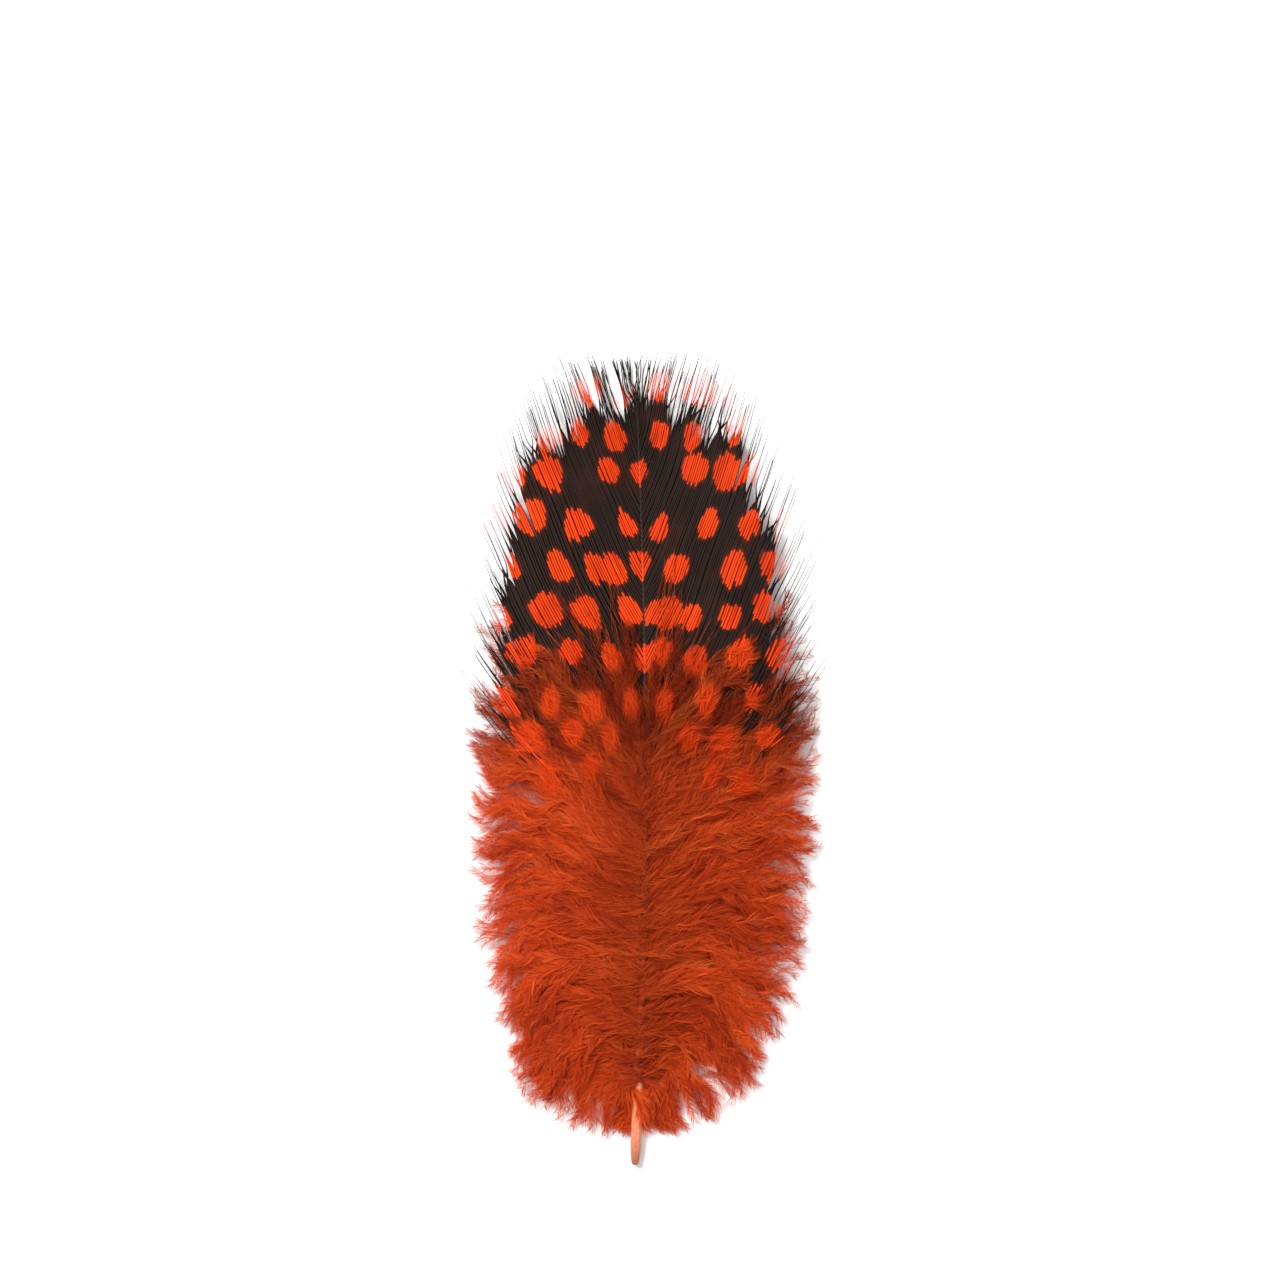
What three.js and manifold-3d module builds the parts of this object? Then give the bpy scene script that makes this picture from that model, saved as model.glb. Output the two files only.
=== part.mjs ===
// A guinea fowl body feather, dyed orange, lying face up on a flat surface.
// Units are millimetres. +Z is up and +Y runs from the quill to the tip.
import * as THREE from "three";
import { mergeVertices } from "three/addons/utils/BufferGeometryUtils.js";
import Module from "manifold-3d";

const wasm = await Module();
wasm.setup();

// Driving dimensions of the whole feather
const LENGTH = 110; // quill tip to vane tip
const HALF_WIDTH = 23.5; // shaft to the widest barb tips
const QUILL_BARE = 11; // quill below the lowest barb
const VANE_START = 58; // on the shaft, where down gives way to closed vane
const SHAFT_END = 104; // where the shaft has thinned to a hair
const ARCH = 6.5; // rise of the shaft between its two resting ends
const ARCH_POWER = 1.5; // over 1 keeps both ends low for longer
const BOW = 1.4; // sideways bend of the shaft
const GAP = 0.15; // clearance on each side of a seam between pieces

// Outline that the barb tips reach
const OUTLINE_LOW = 4; // lowest down tips
const OUTLINE_SWEEP = THREE.MathUtils.degToRad(175); // tip angle of the lowest barb
const SWEEP_POWER = 1.6; // crowds the barb tips towards the top
const OUTLINE_FULLNESS = 0.58; // under 1 makes the oval's shoulders fuller
const BARB_LEAN = THREE.MathUtils.degToRad(13); // root angle beyond the chord's
const LEAN_SPREAD = 1.15; // over 1 moves the strongest lean up from the middle barbs

// Shaft and heights
const QUILL_RADIUS = 0.75;
const SHAFT_TIP_RADIUS = 0.12;
const SHAFT_TIP_CONE = 0.3; // point beyond the shaft's end
const TAPER_POWER = 0.45; // under 1 thins the shaft faster near the quill
const SHAFT_SIDES = 10;
const SHAFT_STEPS = 20;
const QUILL_FULL = 3; // where the blunt end has grown to the full quill
// The quill's blunt end from the bottom of its pit outwards, as radius and distance along
const QUILL_PROFILE = [[0, 1.2], [0.2, 1], [0.26, 0], [0.5, 0.05], [0.68, 0.9], [QUILL_RADIUS, QUILL_FULL]];
const REST_HEIGHT = 0.66; // shaft axis above the surface at the quill's tip
const EDGE_HEIGHT = 0.4; // vane edge above the surface
const CAMBER_WIDTH = 24.5; // half width at which the camber meets the edge height

// Vane plates
const VANE_THICKNESS = 0.6;
const VANE_EDGE_THICKNESS = 0.3;
const VANE_LOBES = 11; // groups of barbs that part at the edge
const STATIONS_PER_LOBE = 4;
const VANE_ROWS = 6;
const NOTCH_DEPTHS = [0.07, 0.16]; // share of a barb's length, least and most

// Down locks
const DOWN_LOCKS = 12; // in each layer, on each side
const DOWN_LAYERS = [
  { height: 1.06, halfThickness: 0.32, shift: 0 },
  { height: 0.72, halfThickness: 0.3, shift: 0.5 },
];
const LOCK_HALF_WIDTH = 2.7;
const LOCK_ROOT_HALF_WIDTH = 2.4;
const LOCK_TIP_HALF_WIDTH = 0.25;
const LOCK_MOST_HALF_THICKNESS = 1.05;
const LOCK_SWELL_SHIFT = 0.12; // moves the widest place towards the root
const LOCK_SWELL_POWER = 1.3; // over 1 moves it towards the tip
const LOCK_TAPER_POWER = 1.5;
const LOCK_TIP_THINNING = 0.5; // thickness left at the tip
const LOCK_REACH = [0.9, 1]; // share of the barb's length, least and most
const LOCK_LIFT = [-0.06, 0.06]; // share of the sheet's height, least and most
const DOWN_TOP = VANE_START - 1.3 * LOCK_ROOT_HALF_WIDTH; // root of the highest lock
const LOCK_SIDES = 6;
const LOCK_STATIONS = [0, 0.18, 0.42, 0.66, 0.86, 1];

// Afterfeather, the small downy plume on the underside
const AFTER_START = 15;
const AFTER_END = 47;
const AFTER_LOCKS = 7; // on each side
const AFTER_REACH = [0.61, 0.72]; // share of the main barb's length, least and most
const AFTER_HEIGHT = 0.25; // share of the height beneath the main feather
const AFTER_STEM = 3; // stem below its lowest lock
const AFTER_STEM_HALF_WIDTH = 1.6;
const AFTER_STEM_CROWN = 0.9; // height beside that of the locks
const AFTER_TIP_THINNING = 0.6;
const AFTER_STATIONS = [0, 0.2, 0.4, 0.6, 0.8, 1];

const DYED_DOWN = new THREE.Color(0xb4421a);
const VANE_BLACK = new THREE.Color(0x2b2421);
const QUILL_ORANGE = new THREE.Color(0xd8693a);

// A repeatable value from 0 to 1 for the nth natural variation.
function vary(n) {
  const wave = Math.sin(n * 12.9898 + 4.137) * 43758.5453;
  return wave - Math.floor(wave);
}

const shaftX = (y) => BOW * Math.sin((Math.PI * y) / LENGTH);

function shaftZ(y) {
  const along = THREE.MathUtils.clamp(y / LENGTH, 0, 1);
  const rest = THREE.MathUtils.lerp(REST_HEIGHT, EDGE_HEIGHT, along);
  return rest + ARCH * Math.sin(Math.PI * along) ** ARCH_POWER;
}

function shaftRadius(y) {
  const thinning = THREE.MathUtils.clamp((y - QUILL_BARE) / (SHAFT_END - QUILL_BARE), 0, 1);
  return THREE.MathUtils.lerp(QUILL_RADIUS, SHAFT_TIP_RADIUS, thinning ** TAPER_POWER);
}

// Height of the cambered sheet that all barbs lie in.
function sheetHeight(x, y) {
  const across = Math.min(1, ((x - shaftX(y)) / CAMBER_WIDTH) ** 2);
  return THREE.MathUtils.lerp(shaftZ(y), EDGE_HEIGHT, across);
}

// Plan path of the barb that leaves the shaft at y = root. Side is -1 for left and 1 for right.
function barbPath(side, root) {
  const start = new THREE.Vector2(shaftX(root) + side * (shaftRadius(root) + GAP), root);
  const climb = (root - QUILL_BARE) / (SHAFT_END - QUILL_BARE);
  const angle = OUTLINE_SWEEP * (1 - climb) ** SWEEP_POWER;
  const middle = (LENGTH + OUTLINE_LOW) / 2;
  const endY = middle + (LENGTH - middle) * Math.cos(angle);
  const reach = GAP + shaftRadius(root) + HALF_WIDTH * Math.sin(angle) ** OUTLINE_FULLNESS;
  const end = new THREE.Vector2(shaftX(endY) + side * reach, endY);
  const chord = end.clone().sub(start);
  const lean = side * BARB_LEAN * Math.sin(Math.PI * Math.min(1, LEAN_SPREAD * (1 - climb)));
  const bend = chord.clone().divideScalar(2).rotateAround(new THREE.Vector2(), -lean);
  return new THREE.QuadraticBezierCurve(start, start.clone().add(bend), end);
}

// A closed mesh from its points and the triangles between them.
function closedGeometry(points, triangles) {
  const geometry = new THREE.BufferGeometry().setFromPoints(points);
  geometry.setIndex(triangles);
  return geometry;
}

// A solid skinned over rings of points, with flat ends.
function loft(rings) {
  const sides = rings[0].length;
  const triangles = [];
  for (let r = 0; r + 1 < rings.length; r++) {
    for (let s = 0; s < sides; s++) {
      const a = r * sides + s;
      const b = r * sides + ((s + 1) % sides);
      triangles.push(a, b + sides, b, a, a + sides, b + sides);
    }
  }
  const last = (rings.length - 1) * sides;
  for (let s = 1; s + 1 < sides; s++) {
    triangles.push(0, s, s + 1, last, last + s + 1, last + s);
  }
  return closedGeometry(rings.flat(), triangles);
}

// A thin plate over a grid of points, thickened up and down by each point's own amount.
function plate(grid, halfThickness) {
  const columns = grid.length;
  const rows = grid[0].length;
  const layer = columns * rows;
  const lifted = (sign) =>
    grid.flatMap((column) =>
      column.map((p, row) => p.clone().setZ(p.z + sign * halfThickness(row / (rows - 1)))),
    );
  const triangles = [];
  const quad = (a, b, c, d) => triangles.push(a, b, c, a, c, d);
  const at = (column, row) => column * rows + row;
  for (let c = 0; c + 1 < columns; c++) {
    for (let r = 0; r + 1 < rows; r++) {
      const [p, q, s, t] = [at(c, r), at(c + 1, r), at(c + 1, r + 1), at(c, r + 1)];
      quad(p, q, s, t);
      quad(layer + p, layer + t, layer + s, layer + q);
    }
    for (const [from, to, row] of [[c + 1, c, 0], [c, c + 1, rows - 1]]) {
      quad(at(from, row), at(to, row), layer + at(to, row), layer + at(from, row));
    }
  }
  for (let r = 0; r + 1 < rows; r++) {
    for (const [column, from, to] of [[0, r, r + 1], [columns - 1, r + 1, r]]) {
      quad(at(column, from), at(column, to), layer + at(column, to), layer + at(column, from));
    }
  }
  return closedGeometry([...lifted(1), ...lifted(-1)], triangles);
}

function toSolid(geometry) {
  const bare = new THREE.BufferGeometry();
  bare.setAttribute("position", geometry.getAttribute("position"));
  bare.setIndex(geometry.getIndex());
  const merged = mergeVertices(bare);
  return new wasm.Manifold(
    new wasm.Mesh({
      numProp: 3,
      vertProperties: merged.getAttribute("position").array,
      triVerts: new Uint32Array(merged.getIndex().array),
    }),
  );
}

function fuse(geometries) {
  const solid = geometries.map(toSolid).reduce((whole, next) => whole.add(next));
  const mesh = solid.getMesh();
  const fused = new THREE.BufferGeometry();
  fused.setAttribute("position", new THREE.BufferAttribute(mesh.vertProperties, 3));
  fused.setIndex(new THREE.BufferAttribute(mesh.triVerts, 1));
  return fused;
}

// The quill and the shaft in one tapering rod, with the small pit at the quill's end.
function shaftGeometry() {
  const profile = QUILL_PROFILE.map(([radius, y]) => new THREE.Vector2(radius, y));
  for (let i = 1; i <= SHAFT_STEPS; i++) {
    const y = THREE.MathUtils.lerp(QUILL_FULL, SHAFT_END, i / SHAFT_STEPS);
    profile.push(new THREE.Vector2(shaftRadius(y), y));
  }
  profile.push(new THREE.Vector2(0, SHAFT_END + SHAFT_TIP_CONE));
  const geometry = new THREE.LatheGeometry(profile, SHAFT_SIDES);
  const position = geometry.getAttribute("position");
  for (let i = 0; i < position.count; i++) {
    const y = position.getY(i);
    position.setX(i, position.getX(i) + shaftX(y));
    position.setZ(i, position.getZ(i) + shaftZ(y));
  }
  return geometry;
}

// One half of the closed vane, its edge parted into groups of barbs.
function vaneGeometry(side) {
  const columns = VANE_LOBES * STATIONS_PER_LOBE;
  const grid = [];
  for (let c = 0; c <= columns; c++) {
    const root = THREE.MathUtils.lerp(VANE_START + GAP, SHAFT_END, c / columns);
    const lobe = Math.round(c / STATIONS_PER_LOBE);
    const parted = Math.abs(c / STATIONS_PER_LOBE - lobe) * 2;
    const depth = THREE.MathUtils.lerp(...NOTCH_DEPTHS, vary(lobe + 31 * side));
    const endShare = 1 - depth * (1 - parted) ** 2;
    const path = barbPath(side, root);
    const column = [];
    for (let r = 0; r < VANE_ROWS; r++) {
      const p = path.getPoint((endShare * r) / (VANE_ROWS - 1));
      column.push(new THREE.Vector3(p.x, p.y, sheetHeight(p.x, p.y)));
    }
    grid.push(column);
  }
  const halfThickness = (along) =>
    THREE.MathUtils.lerp(VANE_THICKNESS, VANE_EDGE_THICKNESS, along) / 2;
  return plate(side > 0 ? grid.reverse() : grid, halfThickness);
}

// Rings of a tapering lock of down along a barb. The first ring lies along the shaft.
// The section function gives each ring's own outline.
function lockRings(side, root, reach, section) {
  const path = barbPath(side, root);
  return LOCK_STATIONS.map((along) => {
    const centre = path.getPoint(along * reach);
    const forward = path.getTangent(along * reach);
    const across = along > 0 ? new THREE.Vector2(forward.y, -forward.x) : new THREE.Vector2(0, -side);
    const swell = Math.sin(Math.PI * Math.min(1, along + LOCK_SWELL_SHIFT) ** LOCK_SWELL_POWER);
    const taper = along ** LOCK_TAPER_POWER;
    const straight = THREE.MathUtils.lerp(LOCK_ROOT_HALF_WIDTH, LOCK_TIP_HALF_WIDTH, taper);
    const halfWidth = Math.max(straight, LOCK_HALF_WIDTH * swell);
    return section(centre, across, halfWidth, along);
  });
}

// One side's plumy base: two layers of locks grown together along the shaft.
function downGeometry(side) {
  const locks = [];
  DOWN_LAYERS.forEach((layer, level) => {
    for (let k = 0; k < DOWN_LOCKS; k++) {
      const spot = 1 - (k + layer.shift) / DOWN_LOCKS;
      const root = THREE.MathUtils.lerp(QUILL_BARE, DOWN_TOP, spot);
      const seed = k + 40 * level + 90 * side;
      const reach = THREE.MathUtils.lerp(...LOCK_REACH, vary(seed));
      const lift = THREE.MathUtils.lerp(...LOCK_LIFT, vary(seed + 7));
      const section = (centre, across, halfWidth, along) => {
        const sheet = sheetHeight(centre.x, centre.y);
        const thinning = THREE.MathUtils.lerp(1, LOCK_TIP_THINNING, along ** 3);
        const full = Math.min(LOCK_MOST_HALF_THICKNESS, layer.halfThickness * sheet);
        const halfThickness = thinning * full;
        const middle = sheet * (layer.height + lift);
        return Array.from({ length: LOCK_SIDES }, (_, i) => {
          const turn = (2 * Math.PI * (i + 0.5)) / LOCK_SIDES;
          const wide = halfWidth * Math.cos(turn);
          const x = centre.x + across.x * wide;
          const y = centre.y + across.y * wide;
          return new THREE.Vector3(x, y, middle + halfThickness * Math.sin(turn));
        });
      };
      locks.push(loft(lockRings(side, root, reach, section)));
    }
  });
  return fuse(locks);
}

// A flat-bottomed outline, for what is pressed down on the surface.
function pressedRing(centre, across, halfWidth, top) {
  const outline = [[1, 0], [0.9, 0.6], [0.4, 1], [-0.4, 1], [-0.9, 0.6], [-1, 0]];
  return outline.map(([wide, high]) => {
    const x = centre.x + across.x * wide * halfWidth;
    const y = centre.y + across.y * wide * halfWidth;
    return new THREE.Vector3(x, y, high * top);
  });
}

// The plume beneath: a small shaft of its own with locks on both sides.
function afterfeatherGeometry() {
  const crown = (p) => AFTER_HEIGHT * sheetHeight(p.x, p.y);
  const stem = AFTER_STATIONS.map((along) => {
    const y = THREE.MathUtils.lerp(AFTER_START - AFTER_STEM, AFTER_END, along);
    const centre = new THREE.Vector2(shaftX(y), y);
    const halfWidth = THREE.MathUtils.lerp(AFTER_STEM_HALF_WIDTH, AFTER_STEM_HALF_WIDTH / 2, along);
    return pressedRing(centre, new THREE.Vector2(1, 0), halfWidth, AFTER_STEM_CROWN * crown(centre));
  });
  const pieces = [loft(stem)];
  for (const side of [-1, 1]) {
    for (let k = 0; k < AFTER_LOCKS; k++) {
      const root = THREE.MathUtils.lerp(AFTER_START, AFTER_END, (k + 0.5) / AFTER_LOCKS);
      const reach = THREE.MathUtils.lerp(...AFTER_REACH, vary(k + 17 * side));
      const section = (centre, across, halfWidth, along) => {
        const thinning = THREE.MathUtils.lerp(1, AFTER_TIP_THINNING, along);
        return pressedRing(centre, across, halfWidth, thinning * crown(centre));
      };
      pieces.push(loft(lockRings(side, root, reach, section)));
    }
  }
  return fuse(pieces);
}

const finish = (color, roughness) => new THREE.MeshStandardMaterial({ color, roughness, metalness: 0 });

const feather = new THREE.Group();

function addPiece(name, geometry, material) {
  const mesh = new THREE.Mesh(geometry, material);
  mesh.name = name;
  feather.add(mesh);
}

addPiece("shaft", shaftGeometry(), finish(QUILL_ORANGE, 0.4));
for (const [hand, side] of [["left", -1], ["right", 1]]) {
  addPiece(`${hand}_vane`, vaneGeometry(side), finish(VANE_BLACK, 0.55));
  addPiece(`${hand}_down`, downGeometry(side), finish(DYED_DOWN, 0.9));
}
addPiece("afterfeather", afterfeatherGeometry(), finish(DYED_DOWN, 0.9));

// The origin is under the middle of the feather, on the surface that it lies on.
const box = new THREE.Box3().setFromObject(feather);
const centre = box.getCenter(new THREE.Vector3());
feather.children.forEach((mesh) => mesh.position.set(-centre.x, -centre.y, -box.min.z));

export default feather;
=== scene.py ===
# %% [markdown]
# A dyed guinea fowl feather, dressed in Blender.
# The packed solids give the feather's size, its arch and the reach of every barb. This lesson replaces
# each solid with what the real one is made of: a horny shaft, hooked barbs that close into a spotted
# vane, and loose down. All of it is plain mesh, built from arrays of numbers, because a feather has too
# many strands to make by hand.

# %% Load the packed feather
from types import SimpleNamespace

import bpy
import numpy as np
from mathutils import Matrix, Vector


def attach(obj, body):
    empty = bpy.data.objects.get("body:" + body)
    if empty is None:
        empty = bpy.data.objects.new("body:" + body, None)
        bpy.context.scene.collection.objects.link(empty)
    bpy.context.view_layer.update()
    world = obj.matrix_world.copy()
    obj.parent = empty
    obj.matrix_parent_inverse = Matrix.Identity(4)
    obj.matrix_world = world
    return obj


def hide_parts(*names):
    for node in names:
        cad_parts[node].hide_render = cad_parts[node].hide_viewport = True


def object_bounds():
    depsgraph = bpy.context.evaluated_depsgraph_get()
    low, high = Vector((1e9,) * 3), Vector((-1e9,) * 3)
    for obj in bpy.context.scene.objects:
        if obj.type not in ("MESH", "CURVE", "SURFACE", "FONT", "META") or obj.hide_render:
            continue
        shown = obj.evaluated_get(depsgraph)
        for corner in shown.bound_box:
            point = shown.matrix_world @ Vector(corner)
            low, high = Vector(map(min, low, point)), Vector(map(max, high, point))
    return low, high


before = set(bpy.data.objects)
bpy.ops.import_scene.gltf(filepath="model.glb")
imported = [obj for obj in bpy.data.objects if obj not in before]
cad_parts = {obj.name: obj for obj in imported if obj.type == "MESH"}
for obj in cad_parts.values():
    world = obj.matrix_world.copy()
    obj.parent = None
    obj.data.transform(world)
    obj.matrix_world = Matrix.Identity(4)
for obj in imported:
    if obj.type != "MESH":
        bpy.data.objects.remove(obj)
cad_low, cad_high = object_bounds()
MM = 0.001
LENGTH = round((cad_high.y - cad_low.y) / MM, 1)
print("solids:", sorted(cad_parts), "length in mm:", LENGTH)

# %% [markdown]
# The lines that a feather grows along.
# A feather has one shaft, which arches, and every barb leaves it at a slant and bends towards the tip.
# It could be drawn barb by barb with curve objects. A few formulas that give any barb's path from the
# place of its root do the same for hundreds of them. The solids were drawn with the same formulas, so
# the tips agree. Lengths here are millimetres.

# %% The shaft's line
ARCH = 6.5
ARCH_POWER = 1.5
BOW = 1.4
REST_HEIGHT = 0.66
EDGE_HEIGHT = 0.4
QUILL_BARE = 11
SHAFT_END = 104
QUILL_RADIUS = 0.75
SHAFT_TIP_RADIUS = 0.12
TAPER_POWER = 0.45
CAMBER_WIDTH = 24.5


def mix(low, high, share):
    return low + (high - low) * share


def smooth(start, end, value):
    share = np.clip((value - start) / (end - start), 0, 1)
    return share * share * (3 - 2 * share)


def shaft_x(y):
    return BOW * np.sin(np.pi * y / LENGTH)


def shaft_z(y):
    along = np.clip(y / LENGTH, 0, 1)
    return mix(REST_HEIGHT, EDGE_HEIGHT, along) + ARCH * np.abs(np.sin(np.pi * along)) ** ARCH_POWER


def shaft_radius(y):
    thinning = np.clip((y - QUILL_BARE) / (SHAFT_END - QUILL_BARE), 0, 1)
    return mix(QUILL_RADIUS, SHAFT_TIP_RADIUS, thinning**TAPER_POWER)


def sheet_height(x, y):
    """Height of the arched sheet that vane and down lie in."""
    across = np.minimum(1, ((x - shaft_x(y)) / CAMBER_WIDTH) ** 2)
    return mix(shaft_z(y), EDGE_HEIGHT, across)


shaft_points = np.array([v.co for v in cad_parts["shaft"].data.vertices]) / MM
quill_end = shaft_points[shaft_points[:, 1] < shaft_points[:, 1].min() + 0.01]
ORIGIN = (quill_end.min(0) + quill_end.max(0)) / 2 - np.array([0, 0, REST_HEIGHT])
print("quill end in mm:", ORIGIN.round(3))

# %% The barbs' paths
GAP = 0.15
HALF_WIDTH = 23.5
OUTLINE_LOW = 4
OUTLINE_SWEEP = np.radians(175)
SWEEP_POWER = 1.6
OUTLINE_FULLNESS = 0.58
BARB_LEAN = np.radians(13)
LEAN_SPREAD = 1.15


def barb_point(side, root, along, drop=0.0, bend=BARB_LEAN):
    """Plan place, x and y, at a share of the way along the barb that leaves the shaft at root.
    A drop lets it leave the shaft lower down, with its tip where it was."""
    start_y = root - drop
    start_x = shaft_x(start_y) + side * (shaft_radius(start_y) + GAP)
    climb = np.clip((root - QUILL_BARE) / (SHAFT_END - QUILL_BARE), 0, 1)
    angle = OUTLINE_SWEEP * (1 - climb) ** SWEEP_POWER
    middle = (LENGTH + OUTLINE_LOW) / 2
    end_y = middle + (LENGTH - middle) * np.cos(angle)
    reach = GAP + shaft_radius(root) + HALF_WIDTH * np.sin(angle) ** OUTLINE_FULLNESS
    end_x = shaft_x(end_y) + side * reach
    lean = side * bend * np.sin(np.pi * np.minimum(1, LEAN_SPREAD * (1 - climb)))
    chord_x = (end_x - start_x) / 2
    chord_y = (end_y - start_y) / 2
    bend_x = start_x + chord_x * np.cos(lean) + chord_y * np.sin(lean)
    bend_y = start_y + chord_y * np.cos(lean) - chord_x * np.sin(lean)
    before = (1 - along) ** 2
    between = 2 * along * (1 - along)
    after = along**2
    x = before * start_x + between * bend_x + after * end_x
    y = before * start_y + between * bend_y + after * end_y
    return x, y


tip_x, tip_y = barb_point(1, np.array([20.0, 40.0, 60.0, 80.0, 100.0]), 1.0)
print("barb tips in mm:", np.stack([tip_x, tip_y], 1).round(1).tolist())

# %% [markdown]
# Camera and light.
# The camera looks straight down on the lying feather, as far off as the picture's scale asks, so that
# the feather has the size and place that it has in the photograph. A big soft lamp at one side draws the
# fine ridges of the barbs, and an even white sky fills the shadows.

# %% The camera
PHOTO_SIDE = 1280
MM_PER_PIXEL = 0.134
SHAFT_PIXEL_X = 645
TIP_PIXEL_Y = 345
QUILL_PIXEL_Y = 1180
LENS = 85.0
SENSOR = 36.0
NEAREST_SEEN = 0.01

scene = bpy.context.scene
scene.view_settings.view_transform = "Standard"


def link(thing):
    scene.collection.objects.link(thing)
    return thing


camera_data = bpy.data.cameras.new("camera")
camera_data.lens = LENS
camera_data.sensor_width = SENSOR
camera_data.clip_start = NEAREST_SEEN
camera = link(bpy.data.objects.new("camera", camera_data))
feather_pixel_y = (TIP_PIXEL_Y + QUILL_PIXEL_Y) / 2
camera_x = (PHOTO_SIDE / 2 - SHAFT_PIXEL_X) * MM_PER_PIXEL
camera_y = (feather_pixel_y - PHOTO_SIDE / 2) * MM_PER_PIXEL
camera_z = PHOTO_SIDE * MM_PER_PIXEL * LENS / SENSOR + shaft_z(LENGTH / 2)
camera.location = (camera_x * MM, camera_y * MM, camera_z * MM)
scene.camera = camera
print("camera height in mm:", round(camera_z, 1))

# %% The lamps and the sky
LIGHT_AIM = (0, 0, 0.004)
SKY_COLOUR = (1, 1, 1, 1)
SKY_STRENGTH = 0.55


def soft_lamp(name, place, size, watts):
    data = bpy.data.lights.new(name, "AREA")
    data.shape = "DISK"
    data.size = size
    data.energy = watts
    lamp = link(bpy.data.objects.new(name, data))
    lamp.location = place
    toward = Vector(LIGHT_AIM) - lamp.location
    lamp.rotation_euler = toward.to_track_quat("-Z", "Y").to_euler()
    print(name, watts, "W")


soft_lamp("key_softbox", place=(-0.34, 0.30, 0.48), size=0.26, watts=5.4)
soft_lamp("fill_softbox", place=(0.45, -0.20, 0.50), size=0.5, watts=1.2)

world = bpy.data.worlds.new("white_sky")
world.use_nodes = True
sky = world.node_tree.nodes["Background"]
sky.inputs["Color"].default_value = SKY_COLOUR
sky.inputs["Strength"].default_value = SKY_STRENGTH
scene.world = world

# %% [markdown]
# Writing shader maths as Python.
# A finish is a tree of nodes, and a tree of twenty nodes is hard to read as links. The small class below
# stands for one output socket. Adding, multiplying or subtracting two of them makes the Math node, so a
# mask can be written the way it is thought of, and its node method makes any other kind of node.


# %% A socket that does sums
class Wire:
    """One output socket of a material's nodes."""

    def __init__(self, tree, socket=None):
        self.tree = tree
        self.socket = socket

    def node(self, kind, settings=None, inputs=None, output=0):
        made = self.tree.nodes.new(kind)
        for name, value in (settings or {}).items():
            if name == "stops":
                self.set_stops(made.color_ramp.elements, value)
            else:
                setattr(made, name, value)
        for name, value in (inputs or {}).items():
            if isinstance(value, Wire):
                self.tree.links.new(value.socket, made.inputs[name])
            else:
                made.inputs[name].default_value = value
        return Wire(self.tree, made.outputs[output])

    @staticmethod
    def set_stops(elements, stops):
        while len(elements) < len(stops):
            elements.new(1)
        for element, (place, colour) in zip(elements, stops):
            element.position = place
            element.color = (*colour, 1)

    def sum(self, operation, first, second):
        return self.node("ShaderNodeMath", {"operation": operation}, {0: first, 1: second})

    def __add__(self, other):
        return self.sum("ADD", self, other)

    def __sub__(self, other):
        return self.sum("SUBTRACT", self, other)

    def __rsub__(self, other):
        return self.sum("SUBTRACT", other, self)

    def __mul__(self, other):
        return self.sum("MULTIPLY", self, other)

    def __abs__(self):
        return self.sum("ABSOLUTE", self, 0)

    __radd__ = __add__
    __rmul__ = __mul__

    def step(self, start, end, low=0.0, high=1.0):
        """Goes smoothly from low to high as this value goes from start to end."""
        names = ("Value", "From Min", "From Max", "To Min", "To Max")
        values = dict(zip(names, (self, start, end, low, high)))
        return self.node("ShaderNodeMapRange", {"interpolation_type": "SMOOTHSTEP"}, values)

    def blend(self, low, high):
        """The colour low where this value is 0, and high where it is 1."""
        low = low if isinstance(low, Wire) else (*low, 1)
        high = high if isinstance(high, Wire) else (*high, 1)
        return self.node("ShaderNodeMix", {"data_type": "RGBA"}, {0: self, 6: low, 7: high}, 2)

    def ramp(self, *stops):
        return self.node("ShaderNodeValToRGB", {"stops": stops}, {"Fac": self})

    def shade(self, colour):
        """The colour, darkened where this value is under 1."""
        inputs = {0: colour, 3: self}
        return self.node("ShaderNodeVectorMath", {"operation": "SCALE"}, inputs)


print("a wire can:", [name for name in vars(Wire) if not name.startswith("_")])

# %% The pale floor
FLOOR_SIDE = 1.6
NOISE_DETAIL = 2.0


def cloud(tree, size_mm):
    """Soft noise from 0 to 1 with patches of about this size."""
    place = Wire(tree).node("ShaderNodeTexCoord", output="Object")
    inputs = {"Vector": place, "Scale": 1 / (size_mm * MM), "Detail": NOISE_DETAIL}
    return Wire(tree).node("ShaderNodeTexNoise", {}, inputs, "Fac")


def finish(name, **constants):
    """A material with these constants on its shader, its nodes and the shader's node."""
    material = bpy.data.materials.new(name)
    material.use_nodes = True
    tree = material.node_tree
    shader = tree.nodes["Principled BSDF"]
    for socket, value in constants.items():
        shader.inputs[socket.replace("_", " ")].default_value = value
    return material, tree, shader


def feed(tree, shader, **wires):
    for socket, wire in wires.items():
        tree.links.new(wire.socket, shader.inputs[socket.replace("_", " ")])


floor_paint, tree, shader = finish("white_paper", Specular_IOR_Level=0.2)
feed(
    tree,
    shader,
    Base_Color=cloud(tree, 60).blend((0.90, 0.90, 0.895), (0.93, 0.93, 0.93)),
    Roughness=cloud(tree, 20).step(0, 1, 0.6, 0.75),
)
bpy.ops.mesh.primitive_plane_add(size=FLOOR_SIDE)
floor = bpy.context.object
floor.name = "floor"
floor.data.materials.append(floor_paint)
print("floor:", FLOOR_SIDE, "m")

# %% [markdown]
# Turning arrays into mesh.
# Every strand is a row of rings along a line, skinned with triangles. Adding them one at a time with
# Blender's operators would take minutes, so all strands of a piece are worked out together as arrays of
# points and handed over in one go. Each point also carries numbers that the finish reads, such as how
# far along its barb it is, and a place on a flat map with one strip for each barb.


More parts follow.
